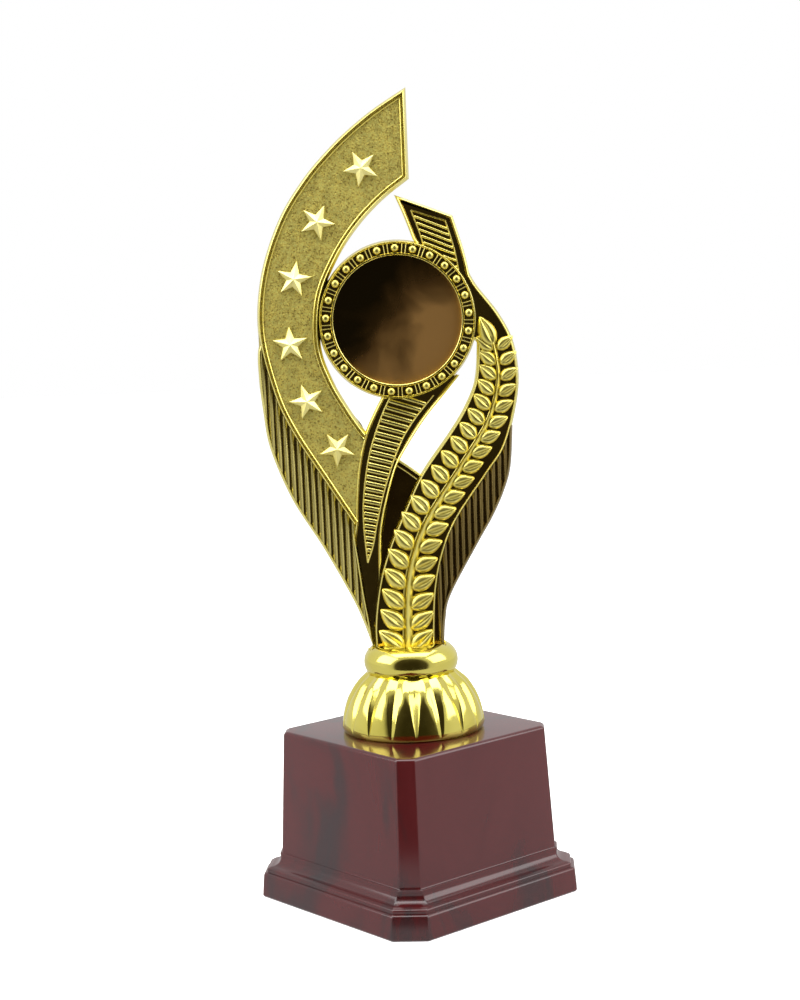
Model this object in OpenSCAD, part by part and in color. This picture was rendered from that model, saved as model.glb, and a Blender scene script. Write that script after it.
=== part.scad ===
// Column trophy: a gold relief figure on a gadrooned riser and a square marbled base.
// Millimetres, +Z up, origin at the centre of the underside of the base.
// The figure faces -Y. All figure outlines are written as [x, z] in that front view.

/* [Base] */
// Width of the plinth where it meets the floor
plinth_w = 98.8; // [94:0.2:104]
// Width of the plinth at its upper edge
plinth_top_w = 97.4; // [92:0.2:98]
// Height of the plinth
plinth_h = 9.7; // [8:0.1:11]
// Chamfer legs on the four corners of the plinth
plinth_chamfer = 9.6; // [7:0.1:12]
// Width of the block just above the moulding
block_w = 83; // [80:0.2:86]
// Width of the block at its top
block_top_w = 78.4; // [74:0.2:80]
// Chamfer legs on the four corners of the block
block_chamfer = 5.2; // [4:0.1:7]
// Height of the moulding between plinth and block
moulding_h = 7.8; // [7:0.1:9]
// Height of the whole base
base_h = 66.6; // [60:0.1:75]
// Wall thickness of the hollow base
base_wall = 2.6; // [2:0.1:3.5]
// Angle by which the base is turned under the figure, as displayed
base_turn = 41; // [0:1:90]

/* [Riser] */
// Radius of the gadrooned dome at its foot
dome_r = 28.4; // [26:0.1:30]
// Height of the dome
dome_h = 22.9; // [20:0.1:25]
// Number of petals round the dome
petals = 18; // [12:1:24]
// Outside radius of the collar
collar_r = 18.7; // [18:0.1:20]
// Clearance round the foot of the figure in the slot of the collar
slot_clearance = 0.3; // [0.1:0.05:0.5]

/* [Medallion] */
// Height of the centre of the medallion above the floor
ring_z = 228.8; // [226:0.1:231]
// Outside radius of the beaded ring
ring_r = 31; // [30:0.1:31.5]
// Radius of the recess for a standard insert disc
insert_r = 25; // [24.5:0.1:25.5]
// Depth of the recess
insert_depth = 2; // [1:0.1:2.5]
// Number of beads round the ring
beads = 25; // [16:1:30]
// Radius of one bead
bead_r = 1.45; // [1:0.05:1.6]

/* [Relief] */
// Leaves on each side of the laurel stem
leaf_pairs = 19; // [12:1:20]
// Distance between the flutes of the wings
flute_pitch = 2.5; // [2:0.1:4]
// Distance between the rungs of the ribbons
rung_pitch = 2.6; // [1.8:0.1:4]
// Outside radius of a star
star_r = 7.4; // [6:0.1:8]

/* [Fasteners] */
// Radius of the tie rod that holds the trophy together
rod_r = 2.5; // [2:0.1:2.6]
// Radial clearance of the rod in the hole of the base
rod_clearance = 0.08; // [0.02:0.01:0.1]
// Width across the flats of the nuts
nut_w = 8; // [7:0.1:8.5]
// Radius of the shanks of the small screws
screw_r = 1.25; // [1:0.05:1.4]
// Radius of the heads of the small screws
screw_head_r = 2.6; // [2.4:0.1:2.8]

/* [Hidden] */
$fn = 64;

// Colours
GOLD = [0.83, 0.72, 0.18];
DARK_GOLD = [0.45, 0.34, 0.12];
BURGUNDY = [0.36, 0.05, 0.08];
STEEL = [0.7, 0.7, 0.72];

// Levels of the base
moulding_top = plinth_h + moulding_h;
cover_bottom = 1;
cover_t = 2;
cover_half = 44.6;
weight_bottom = 15;
weight_top = 38;
weight_half = 33;
boss_r = 9;
screw_offset = 36;
screw_boss_r = 4;
screw_boss_h = 26;
cover_screw_long = 12;
cover_head_t = 0.8;
cover_inset = 0.2;

// Levels of the riser and the foot
dome_top = base_h + dome_h;
dome_seat_r = 17.6;
dome_wall = 2;
collar_round = 7;
collar_z = dome_top + 4.5;
collar_h = 12;
foot_top = dome_top + 10;
foot_left = -14.8;
foot_right = 13.7;
foot_depth = 10.6;
tenon_w = 25;
tenon_h = 12;

// Depths of the figure along Y, from front to back
leaf_y = -5.4;
ring_y = -6.4;
rim_y = -4.8;
band_y = -3.6;
bed_y = -3.2;
wing_y = -2.6;
ribbon_rim_y = bed_y - 0.6;
rung_y = bed_y - 0.3;
flute_rise = 0.8;
core_front = -1;
core_back = 2;
back_y = 5.5;
back_wall = 1.6;
back_post_r = 3;
back_head_t = 1.2;
tray_floor_y = ring_y + insert_depth;

// Widths of the raised rims
band_rim_w = 2.6;
ribbon_rim_w = 2;
bed_rim_w = 1;

// How far the carrier plate and the back cover stay inside the outline of the figure
core_margin = 0.4;
cover_margin = 0.6;

// Rod, nuts and washers
nut_h = 4.5;
washer_r = 9;
washer_t = 1.6;
nut_z = dome_top + 1.5;
rod_bottom = weight_bottom - washer_t - nut_h - 2;
rod_top = foot_top - 1.5;

// ---------- outlines of the figure, as [x, z] ----------

BAND_OUTER = [
    [6.6, 317.6], [-6, 310], [-15.5, 303], [-24, 295.5], [-34.2, 284.5], [-44.5, 269],
    [-52.3, 248], [-54.5, 226], [-50, 203], [-43.5, 187], [-31, 166], [-20, 148]
];
BAND_INNER = [
    [-20, 148], [-17, 175], [-14.5, 186.3], [-19.8, 194.5], [-26.2, 206.5], [-30.2, 220],
    [-29, 238], [-22.4, 253], [-14, 265], [-4, 275], [6.6, 282.8]
];
LEFT_WING_OUTER = [
    [-50, 226], [-54.6, 220], [-55, 208], [-54, 195], [-51.8, 180], [-44.2, 160],
    [-32.6, 140], [-22.3, 120], [-18.2, 110], [-14.8, 99.5]
];
LEFT_WING_INNER = [[-14, 99.5], [-15, 108], [-17, 122], [-18.5, 135], [-20, 148], [-22, 160]];
RIGHT_WING_OUTER = [
    [13.5, 99.5], [14.4, 110], [17, 120], [28.4, 140], [34.4, 150], [39.2, 160], [42.2, 170],
    [43.5, 186], [40, 188]
];
BED_RIGHT = [
    [10.2, 99.5], [11.3, 120], [14.5, 135.5], [20.5, 149.5], [33, 167], [40.5, 178],
    [45.2, 194], [46.5, 206], [44.7, 219], [39.4, 230], [31.6, 240.5], [28.5, 246]
];
BED_LEFT = [
    [26, 240], [27, 222], [30.6, 219], [29.3, 205], [25.3, 195], [19, 185], [6.5, 168],
    [-1, 153], [-7, 140], [-11.5, 126], [-14, 110], [-14, 99.5]
];
STEM = [
    [-1, 99.5], [0, 122], [3.5, 138], [10, 152], [22.5, 170.5], [34, 188.5],
    [38.5, 205], [37, 219]
];
UPPER_RIGHT = [[22.8, 268.2], [26.7, 255], [28.7, 245]];
UPPER_LEFT = [[14, 246], [7.2, 259.5], [3.4, 270], [0.5, 277]];
LOWER_LEFT = [[-5, 203], [-10.5, 193.5], [-15.2, 183], [-18.5, 168], [-20, 148]];
LOWER_TAIL = [[-18, 128], [-15, 106], [-13.5, 106], [-11, 126]];
LOWER_RIGHT = [
    [-10, 134], [-9.2, 147], [-6.2, 160], [-2.2, 172], [2.4, 180], [9.4, 190], [18, 200], [24, 207]
];
LADDER_LEFT = [[-4, 199], [-8, 191], [-13, 177], [-15.8, 162], [-16.5, 150], [-15.5, 134]];
LADDER_RIGHT = [[-14.5, 134], [-11, 150], [-7.5, 163], [-1.5, 179], [4.5, 189], [13, 199]];
WEB = [
    [-12, 127], [-10.5, 134], [-9.8, 147], [-6.8, 160], [-2.8, 175.3],
    [6.5, 168], [0, 153], [-6, 140], [-9, 127]
];

// Centre of each star and the turn of its top point away from the vertical
STARS = [
    [-11.7, 287.5, 26], [-29.5, 267.5, -26], [-39.5, 246, -12],
    [-42, 220.8, 2], [-36.5, 198.5, 17], [-25.5, 179.5, 33]
];

// Places of the screws that hold the back cover
BACK_SCREWS = [[-40, 240], [-25, 175], [36, 196], [0, 118]];

// ---------- curves ----------

// A point on a Catmull-Rom curve between b and c
function between(a, b, c, d, t) =
    0.5 * (2 * b + (c - a) * t + (2 * a - 5 * b + 4 * c - d) * t * t
        + (3 * b - a - 3 * c + d) * t * t * t);

// A smooth curve through the given points, with steps pieces between neighbours
function curve(p, steps = 5) =
    let (last = len(p) - 1)
    concat(
        [for (i = [0:last - 1]) for (k = [0:steps - 1])
            between(p[max(i - 1, 0)], p[i], p[i + 1], p[min(i + 2, last)], k / steps)],
        [p[last]]
    );

// A point at share s of a curve's points
function along(p, s) =
    let (i = min(floor(s * (len(p) - 1)), len(p) - 2), f = s * (len(p) - 1) - i)
    p[i] * (1 - f) + p[i + 1] * f;

// The direction of a curve at share s, as an angle from +X
function heading(p, s) =
    let (d = along(p, min(s + 0.02, 1)) - along(p, max(s - 0.02, 0)))
    atan2(d[1], d[0]);

// ---------- lofted shapes ----------

// A square ring with chamfered corners: half width, chamfer legs, height
function octagon(half, leg, z) =
    let (s = half - leg)
    [[half, -s, z], [half, s, z], [s, half, z], [-s, half, z],
        [-half, s, z], [-half, -s, z], [-s, -half, z], [s, -half, z]];

// A closed solid through rings of n points each, from the lowest up
module loft(rings, n) {
    m = len(rings);
    sides = [for (j = [0:m - 2]) for (i = [0:n - 1]) for (half = [0, 1])
        half == 0
            ? [j * n + i, (j + 1) * n + i, (j + 1) * n + (i + 1) % n]
            : [j * n + i, (j + 1) * n + (i + 1) % n, j * n + (i + 1) % n]];
    bottom = [[for (i = [0:n - 1]) i]];
    top = [[for (i = [n - 1:-1:0]) (m - 1) * n + i]];
    polyhedron(points = [for (r = rings) for (p = r) p], faces = concat(sides, bottom, top));
}

// Plates that stand up in the XZ plane, between two depths along Y
module upright(front, back) {
    translate([0, back, 0])
        rotate([90, 0, 0])
            linear_extrude(back - front)
                children();
}

module base_place() {
    rotate([0, 0, base_turn])
        children();
}

// ---------- base ----------

COVE = [for (a = [0:18:90]) [
    block_w / 2 + 1.2 + 3.6 * (1 - cos(a)),
    moulding_top - 1.3 - (moulding_h - 3.8) * sin(a)
]];
ROUND = [for (a = [30:30:90]) [
    block_w / 2 + 4.8 + 1.3 * sin(a),
    plinth_h + 2.5 - 1.8 * (1 - cos(a))
]];

// The profile of the outside from the floor up, as [half width, height]
function base_profile() =
    concat(
        [[plinth_w / 2, 0], [plinth_top_w / 2, plinth_h]],
        [for (i = [len(ROUND) - 1:-1:0]) ROUND[i]],
        [for (i = [len(COVE) - 1:-1:0]) COVE[i]],
        [[block_w / 2 + 1, moulding_top - 0.5], [block_w / 2, moulding_top], [block_top_w / 2, base_h]]
    );

// The chamfer shrinks from the plinth to the block
function chamfer_at(z) =
    z < plinth_h
        ? plinth_chamfer
        : max(block_chamfer, plinth_chamfer - (plinth_chamfer - block_chamfer) * (z - plinth_h) / moulding_h);

module base_shell() {
    profile = base_profile();
    inner = base_h - base_wall;
    color(BURGUNDY)
        base_place() {
            difference() {
                loft([for (p = profile) octagon(p[0], chamfer_at(p[1]), p[1])], 8);
                loft([
                    octagon(cover_half + 0.2, plinth_chamfer - 1, -1),
                    octagon(cover_half + 0.2, plinth_chamfer - 1, cover_bottom + cover_t),
                    octagon(cover_half - 1.6, plinth_chamfer - 1, cover_bottom + cover_t),
                    octagon(cover_half - 2, plinth_chamfer - 1, plinth_h),
                    octagon(block_w / 2 - base_wall, block_chamfer, moulding_top),
                    octagon(block_top_w / 2 - base_wall, block_chamfer, inner)
                ], 8);
                cylinder(r = rod_r + rod_clearance, h = base_h + 1);
            }
            // central boss that the weight is drawn up against
            difference() {
                translate([0, 0, weight_top])
                    cylinder(r = boss_r, h = inner - weight_top);
                cylinder(r = rod_r + rod_clearance, h = base_h + 1);
            }
            // corner bosses for the cover screws
            for (x = [-1, 1], y = [-1, 1])
                screw_boss(x * screw_offset, y * screw_offset);
        }
}

// A post that runs into the wall of the shell, with a hole for a self-tapping screw
module screw_boss(x, y) {
    translate([x, y, cover_bottom + cover_t])
        difference() {
            intersection() {
                cylinder(r = screw_boss_r, h = screw_boss_h);
                translate([-x, -y, -1])
                    loft([
                        octagon(cover_half - 1.6, plinth_chamfer - 1, 0),
                        octagon(cover_half - 2, plinth_chamfer - 1, 7),
                        octagon(block_w / 2 - 1, block_chamfer, moulding_top - 2),
                        octagon(block_w / 2 - 1.4, block_chamfer, screw_boss_h + 2)
                    ], 8);
            }
            translate([0, 0, -1])
                cylinder(r = screw_r, h = cover_screw_long + 1);
        }
}

// Its children at the places of the four cover screws
module at_cover_screws() {
    for (x = [-1, 1], y = [-1, 1])
        translate([x * screw_offset, y * screw_offset, 0])
            children();
}

// The flat outline of the cover and the pad
module cover_shape() {
    polygon([for (p = octagon(cover_half, plinth_chamfer - 1, 0)) [p[0], p[1]]]);
}

module base_weight() {
    color("gray")
        base_place()
            difference() {
                translate([0, 0, weight_bottom])
                    linear_extrude(weight_top - weight_bottom)
                        polygon([for (p = octagon(weight_half, 9, 0)) [p[0], p[1]]]);
                cylinder(r = rod_r + 1.5, h = base_h);
            }
}

module bottom_cover() {
    color("dimgray")
        base_place()
            difference() {
                translate([0, 0, cover_bottom])
                    linear_extrude(cover_t)
                        cover_shape();
                at_cover_screws()
                    cylinder(r = screw_r + 0.35, h = 10);
            }
}

module cover_screws() {
    color(STEEL)
        base_place()
            at_cover_screws()
                translate([0, 0, cover_inset]) {
                    cylinder(r = screw_head_r, h = cover_head_t);
                    translate([0, 0, cover_head_t])
                        cylinder(r = screw_r, h = cover_screw_long);
                }
}

module felt_pad() {
    color("darkgreen")
        base_place()
            difference() {
                linear_extrude(cover_bottom)
                    cover_shape();
                at_cover_screws()
                    translate([0, 0, -1])
                        cylinder(r = screw_head_r + 0.4, h = 4);
            }
}

// ---------- riser ----------

// Radius, height and depth of the grooves, from the foot of the dome up
DOME = [
    [dome_r - 0.9, 0, 0], [dome_r, 2, 0.4], [dome_r, 4, 0.8], [dome_r - 0.5, 6.5, 1.2],
    [dome_r - 1.4, 9.5, 1.5], [dome_r - 2.9, 13.5, 1.7], [dome_r - 5, 17, 1.6],
    [dome_r - 7.4, 20, 1.2], [dome_r - 9.4, 22, 0.6], [dome_seat_r, dome_h, 0]
];
petal_steps = 6;
petal_seam = 2;

function petal_ring(r, z, groove) =
    [for (i = [0:petals * petal_steps - 1])
        let (a = i * 360 / (petals * petal_steps), g = pow(abs(cos(petals / 2 * a)), 4))
        [(r - groove * g) * cos(a - 90 + petal_seam), (r - groove * g) * sin(a - 90 + petal_seam), z]];

module riser_dome() {
    color(GOLD)
        difference() {
            translate([0, 0, base_h])
                loft([for (p = DOME) petal_ring(p[0], p[1], p[2])], petals * petal_steps);
            translate([0, 0, base_h - 1])
                cylinder(r1 = dome_r - 3.6, r2 = dome_seat_r - 3, h = dome_h - dome_wall);
            cylinder(r = rod_r + 0.3, h = dome_top + 1);
        }
}

// A round ring with a flat underside and a slot that the foot of the figure stands in
module collar_ring() {
    color(GOLD)
        difference() {
            rotate_extrude()
                intersection() {
                    translate([collar_r - collar_round, collar_z])
                        circle(r = collar_round);
                    translate([0, dome_top])
                        square([collar_r, collar_h]);
                }
            foot_block(slot_clearance, dome_top - 1, dome_top + collar_h + 1);
        }
}

// The foot of the figure, grown by margin on its four sides, between two heights
module foot_block(margin, bottom, top) {
    translate([foot_left - margin, -foot_depth / 2 - margin, bottom])
        cube([foot_right - foot_left + 2 * margin, foot_depth + 2 * margin, top - bottom]);
}

// ---------- rod, nuts and washers ----------

module tie_rod() {
    color(STEEL)
        translate([0, 0, rod_bottom])
            cylinder(r = rod_r, h = rod_top - rod_bottom);
}

module hex_nut(z) {
    color(STEEL)
        difference() {
            translate([0, 0, z])
                cylinder(r = nut_w / 2 / cos(30), h = nut_h, $fn = 6);
            cylinder(r = rod_r, h = rod_top + 10);
        }
}

module foot_nut() {
    hex_nut(nut_z);
}

module rod_nut() {
    hex_nut(weight_bottom - washer_t - nut_h);
}

module rod_washer() {
    color(STEEL)
        difference() {
            translate([0, 0, weight_bottom - washer_t])
                cylinder(r = washer_r, h = washer_t);
            cylinder(r = rod_r + 0.3, h = weight_bottom + 1);
        }
}

// ---------- figure outlines as flat shapes ----------

module band_shape() {
    difference() {
        polygon(concat(curve(BAND_OUTER), curve(BAND_INNER)));
        ring_shape(ring_r);
    }
}

module ring_shape(r) {
    translate([0, ring_z])
        circle(r = r);
}

module left_wing_shape() {
    difference() {
        polygon(concat(curve(LEFT_WING_OUTER), curve(LEFT_WING_INNER)));
        band_shape();
    }
}

module bed_shape() {
    difference() {
        polygon(concat(curve(BED_RIGHT), curve(BED_LEFT)));
        ring_shape(ring_r);
    }
}

module right_wing_shape() {
    difference() {
        polygon(concat([[9, 99.5]], curve(RIGHT_WING_OUTER), [[36, 188], [28, 170], [12, 150]]));
        polygon(concat(curve(BED_RIGHT), curve(BED_LEFT)));
    }
}

module ribbon_upper_shape() {
    difference() {
        polygon(concat(curve(UPPER_RIGHT), curve(UPPER_LEFT)));
        ring_shape(ring_r);
        polygon(concat(curve(BED_RIGHT), curve(BED_LEFT)));
    }
}

module ribbon_lower_shape() {
    difference() {
        polygon(concat(curve(LOWER_LEFT), LOWER_TAIL, curve(LOWER_RIGHT)));
        ring_shape(ring_r);
        band_shape();
        polygon(concat(curve(LEFT_WING_OUTER), curve(LEFT_WING_INNER)));
        polygon(concat(curve(BED_RIGHT), curve(BED_LEFT)));
    }
}

module web_shape() {
    difference() {
        polygon(WEB);
        ribbon_lower_shape();
        polygon(concat(curve(BED_RIGHT), curve(BED_LEFT)));
    }
}

// The whole figure as one outline, drawn in by inset, with the fine slits between the pieces closed
module figure_shape(inset) {
    slit = 0.5;
    offset(delta = -inset - slit)
        offset(delta = slit) {
            band_shape();
            left_wing_shape();
            right_wing_shape();
            bed_shape();
            ribbon_upper_shape();
            ribbon_lower_shape();
            polygon(WEB);
            ring_shape(ring_r);
        }
}

// A plate with a raised rim round its edge
module rimmed_plate(rim_w, rim_front, field_front) {
    upright(field_front, core_front)
        children();
    upright(rim_front, field_front)
        difference() {
            children();
            offset(delta = -rim_w)
                children();
        }
}

// ---------- figure ----------

module figure_core() {
    color(DARK_GOLD)
        difference() {
            union() {
                upright(core_front, core_back) {
                    figure_shape(core_margin);
                    // tenon that runs down into the foot
                    translate([-tenon_w / 2, foot_top - tenon_h / 2])
                        square([tenon_w, tenon_h]);
                }
                foot_block(0, dome_top, foot_top);
            }
            translate([0, 0, nut_z])
                cylinder(r = nut_w / 2 / cos(30), h = nut_h, $fn = 6);
            translate([0, 0, dome_top - 1])
                cylinder(r = rod_r, h = rod_top - dome_top + 1);
            back_screw_holes(screw_r);
        }
}

module back_screw_holes(r) {
    for (p = BACK_SCREWS)
        translate([p[0], core_front + 0.6, p[1]])
            rotate([-90, 0, 0])
                cylinder(r = r, h = 10);
}

module back_cover() {
    color(GOLD)
        difference() {
            union() {
                difference() {
                    upright(core_back, back_y)
                        figure_shape(cover_margin);
                    upright(core_back - 1, back_y - back_wall)
                        figure_shape(cover_margin + back_wall);
                }
                for (p = BACK_SCREWS)
                    translate([p[0], core_back, p[1]])
                        rotate([-90, 0, 0])
                            cylinder(r = back_post_r, h = back_y - core_back);
            }
            back_screw_holes(screw_r + 0.5);
        }
}

module back_screws() {
    color(STEEL)
        for (p = BACK_SCREWS)
            translate([p[0], back_y, p[1]])
                rotate([-90, 0, 0]) {
                    cylinder(r = screw_head_r, h = back_head_t);
                    translate([0, 0, core_back - back_y - 2])
                        cylinder(r = screw_r, h = back_y - core_back + 2);
                }
}

// A plate with upright ridges all over its front
module fluted_plate() {
    reach = 60;
    upright(wing_y, core_front)
        children();
    upright(wing_y - flute_rise, wing_y)
        intersection() {
            children();
            for (x = [-reach:flute_pitch:reach])
                translate([x, 0])
                    square([flute_pitch * 0.5, BAND_OUTER[0][1]]);
        }
}

module left_wing() {
    color(GOLD)
        fluted_plate()
            left_wing_shape();
}

module right_wing() {
    color(GOLD)
        fluted_plate()
            right_wing_shape();
}

module star_band() {
    color(GOLD)
        rimmed_plate(band_rim_w, rim_y, band_y)
            band_shape();
}

// A five-point star whose ten facets meet at its middle
module star() {
    inner_r = star_r * 0.42;
    rise = 2.6;
    points = concat(
        [for (i = [0:9]) [
            (i % 2 == 0 ? star_r : inner_r) * sin(36 * i),
            0,
            (i % 2 == 0 ? star_r : inner_r) * cos(36 * i)
        ]],
        [[0, -rise, 0], [0, 0, 0]]
    );
    polyhedron(
        points = points,
        faces = concat(
            [for (i = [0:9]) [i, 10, (i + 1) % 10]],
            [for (i = [0:9]) [(i + 1) % 10, 11, i]]
        )
    );
}

module stars() {
    color(GOLD)
        for (s = STARS)
            translate([s[0], band_y, s[1]])
                rotate([0, -s[2], 0])
                    star();
}

// Slanted bars across a ribbon, laid inside its ladder field
module rungs(from_z, to_z, slant) {
    for (z = [from_z:rung_pitch:to_z])
        translate([0, z])
            rotate(slant)
                square([90, rung_pitch * 0.5], center = true);
}

module ribbon_upper() {
    color(GOLD) {
        rimmed_plate(ribbon_rim_w, ribbon_rim_y, wing_y)
            ribbon_upper_shape();
        upright(rung_y, wing_y)
            intersection() {
                offset(delta = -ribbon_rim_w)
                    ribbon_upper_shape();
                rungs(236, 284, -20);
            }
    }
}

module ladder_shape() {
    difference() {
        polygon(concat(curve(LADDER_LEFT), curve(LADDER_RIGHT)));
        ring_shape(ring_r);
    }
}

module ribbon_lower() {
    color(GOLD) {
        upright(wing_y, core_front)
            ribbon_lower_shape();
        upright(ribbon_rim_y, wing_y)
            difference() {
                ribbon_lower_shape();
                ladder_shape();
            }
        upright(rung_y, wing_y)
            intersection() {
                ladder_shape();
                rungs(130, 210, -12);
            }
    }
}

module web_panel() {
    color(DARK_GOLD)
        upright(wing_y + 0.6, core_front)
            web_shape();
}

module laurel_bed() {
    color(GOLD)
        rimmed_plate(bed_rim_w, ribbon_rim_y, bed_y)
            bed_shape();
}

// One leaf lying along +X from its base, pointed at both ends
module leaf(length, width) {
    r = (length * length + width * width) / (4 * width);
    intersection() {
        translate([length / 2, width / 2 - r])
            circle(r = r);
        translate([length / 2, r - width / 2])
            circle(r = r);
    }
}

// Share along the stem of leaf pair i: the pairs lie closer together towards the top
function leaf_share(i) =
    let (u = i / (leaf_pairs - 0.4))
    u * (1.21 - 0.21 * u);

// Directions of the leaves of a pair, from +X
function left_leaf_angle(s) = 142 - 10 * sin(180 * s);
function right_leaf_angle(s) = 38 - 24 * sin(180 * s);

// The spray stays inside the rim of its bed
module laurel_spray() {
    stem = curve(STEM, 6);
    color(GOLD)
        upright(leaf_y, bed_y)
            intersection() {
                offset(delta = -bed_rim_w - 0.1)
                    bed_shape();
                union() {
                    stem_shape(stem);
                    for (i = [0:leaf_pairs - 1])
                        for (angle = [left_leaf_angle(leaf_share(i)), right_leaf_angle(leaf_share(i))])
                            translate(along(stem, leaf_share(i)))
                                rotate(angle)
                                    scale(1 - 0.28 * leaf_share(i))
                                        leaf(11.4, 6);
                    translate(along(stem, 1) - [0, 2])
                        rotate(113)
                            leaf(13, 7);
                }
            }
}

// The stem narrows from its foot to its top
module stem_shape(stem) {
    last = len(stem) - 1;
    function side(sign) = [for (i = [0:last])
        let (a = heading(stem, i / last) + 90, w = 1.9 - 1.3 * i / last)
        stem[i] + sign * w * [cos(a), sin(a)]];
    right = side(-1);
    left = side(1);
    polygon(concat(right, [for (i = [last:-1:0]) left[i]]));
}

// ---------- medallion ----------

module medallion_tray() {
    color(DARK_GOLD)
        upright(tray_floor_y, core_front)
            ring_shape(ring_r - 0.4);
}

module bead_ring() {
    channel = ring_y + 0.9;
    bead_circle = (ring_r + insert_r) / 2;
    bead_y = tray_floor_y - bead_r - 0.05;
    pitch = 360 / beads;
    color(GOLD) {
        upright(channel, tray_floor_y)
            difference() {
                ring_shape(ring_r);
                ring_shape(insert_r);
            }
        upright(ring_y, channel)
            difference() {
                ring_shape(insert_r + 0.9);
                ring_shape(insert_r);
            }
        upright(ring_y, channel)
            difference() {
                ring_shape(ring_r);
                ring_shape(ring_r - 0.6);
            }
        for (i = [0:beads - 1])
            translate([0, channel, ring_z])
                rotate([0, i * pitch, 0]) {
                    translate([0, bead_y - channel, bead_circle])
                        sphere(r = bead_r);
                    for (side = [-1, 1])
                        rotate([0, pitch / 2 + side * 1.2, 0])
                            translate([-0.35, -0.7, insert_r + 0.7])
                                cube([0.7, 0.9, ring_r - insert_r - 1.2]);
                }
    }
}

base_shell();
base_weight();
bottom_cover();
cover_screws();
felt_pad();
riser_dome();
collar_ring();
tie_rod();
foot_nut();
rod_washer();
rod_nut();
figure_core();
back_cover();
back_screws();
left_wing();
right_wing();
star_band();
stars();
ribbon_upper();
ribbon_lower();
web_panel();
laurel_bed();
laurel_spray();
medallion_tray();
bead_ring();
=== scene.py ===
"""The looks of a column trophy: a gold relief figure on a gadrooned riser and a marbled base.

Shapes are written in millimetres in the CAD frame (+Z up, figure facing -Y), and scaled to metres when
a mesh is made. Outlines of the figure are [x, z] points of its front view."""

import math

import bmesh
import bpy
import numpy as np
from mathutils import Matrix, Vector
from mathutils.geometry import delaunay_2d_cdt


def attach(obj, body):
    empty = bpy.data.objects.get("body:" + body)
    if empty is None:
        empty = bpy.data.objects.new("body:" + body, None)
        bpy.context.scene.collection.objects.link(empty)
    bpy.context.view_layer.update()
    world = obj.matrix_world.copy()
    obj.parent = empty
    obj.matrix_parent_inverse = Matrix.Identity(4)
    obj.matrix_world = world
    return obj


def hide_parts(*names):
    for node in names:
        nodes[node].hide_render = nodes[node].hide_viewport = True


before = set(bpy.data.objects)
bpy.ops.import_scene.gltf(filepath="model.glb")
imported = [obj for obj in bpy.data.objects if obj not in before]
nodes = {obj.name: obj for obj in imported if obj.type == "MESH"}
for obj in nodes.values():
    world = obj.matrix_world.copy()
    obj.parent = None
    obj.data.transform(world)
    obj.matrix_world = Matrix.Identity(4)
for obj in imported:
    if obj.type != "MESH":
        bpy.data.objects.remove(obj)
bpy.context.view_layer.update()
MM = 0.001


# ---------- camera ----------

CAMERA_AT = (0.0, -745.3, 242.0)
CAMERA_PITCH = math.radians(6.43)  # downwards
CAMERA_YAW = math.radians(-0.14)
CAMERA_ROLL = math.radians(-2.31)
CAMERA_LENS = 68.45


def make_camera():
    data = bpy.data.cameras.new("camera")
    data.lens = CAMERA_LENS
    data.clip_start = 0.01
    camera = bpy.data.objects.new("camera", data)
    bpy.context.scene.collection.objects.link(camera)
    forward = Vector((
        math.sin(CAMERA_YAW) * math.cos(CAMERA_PITCH),
        math.cos(CAMERA_YAW) * math.cos(CAMERA_PITCH),
        -math.sin(CAMERA_PITCH),
    ))
    right = Vector((math.cos(CAMERA_YAW), -math.sin(CAMERA_YAW), 0))
    up = right.cross(forward)
    across = math.cos(CAMERA_ROLL) * right + math.sin(CAMERA_ROLL) * up
    upright = math.cos(CAMERA_ROLL) * up - math.sin(CAMERA_ROLL) * right
    turn = Matrix((across, upright, -forward)).transposed().to_4x4()
    camera.matrix_world = Matrix.Translation(Vector(CAMERA_AT) * MM) @ turn
    bpy.context.scene.camera = camera


make_camera()


# ---------- outlines of the figure ----------

BAND_OUTER = [
    [6.6, 317.6], [-6, 310], [-15.5, 303], [-24, 295.5], [-34.2, 284.5], [-44.5, 269],
    [-52.3, 248], [-54.5, 226], [-50, 203], [-43.5, 187], [-31, 166], [-20, 148],
]
BAND_RIBBON_SIDE = [[-19.6, 147.4], [-16.5, 175], [-14.1, 185.8]]
BAND_INNER = [
    [-14.5, 186.3], [-19.8, 194.5], [-26.2, 206.5], [-30.2, 220],
    [-29, 238], [-22.4, 253], [-14, 265], [-4, 275], [6.6, 282.8],
]
LEFT_WING_OUTER = [
    [-50, 226], [-54.6, 220], [-55, 208], [-54, 195], [-51.8, 180], [-44.2, 160],
    [-32.6, 140], [-22.3, 120], [-18.2, 110], [-14.8, 99.5], [-14.6, 98.5],
]
LEFT_WING_INNER = [[-14.1, 98.5], [-15, 108], [-17, 122], [-18.5, 135], [-20, 147]]
RIGHT_WING_OUTER = [
    [13.4, 98.5], [13.5, 99.5], [14.4, 110], [17, 120], [28.4, 140], [34.4, 150],
    [39.2, 160], [42.2, 170], [43.5, 186],
]
BED_RIGHT = [
    [10.1, 98.5], [11.3, 120], [14.5, 135.5], [20.5, 149.5], [33, 167], [40.5, 178],
    [45.2, 194], [46.5, 206], [44.7, 219], [39.4, 230], [31.6, 240.5], [28.5, 246],
]
BED_LEFT = [
    [30.6, 219], [29.3, 205], [25.3, 195], [19, 185], [6.5, 168],
    [-1, 153], [-7, 140], [-11.5, 126], [-14, 110], [-14, 98.5],
]
STEM = [
    [-1, 98.5], [0, 122], [3.5, 138], [10, 152], [22.5, 170.5], [34, 188.5],
    [38.5, 205], [37, 219],
]
UPPER_RIGHT = [[22.8, 268.2], [26.7, 255], [28.7, 245]]
UPPER_LEFT = [[7.2, 259.5], [3.4, 270], [0.5, 277]]
LOWER_LEFT = [[-5, 203], [-10.5, 193.5], [-15.2, 183], [-18.5, 168], [-20, 148]]
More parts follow.
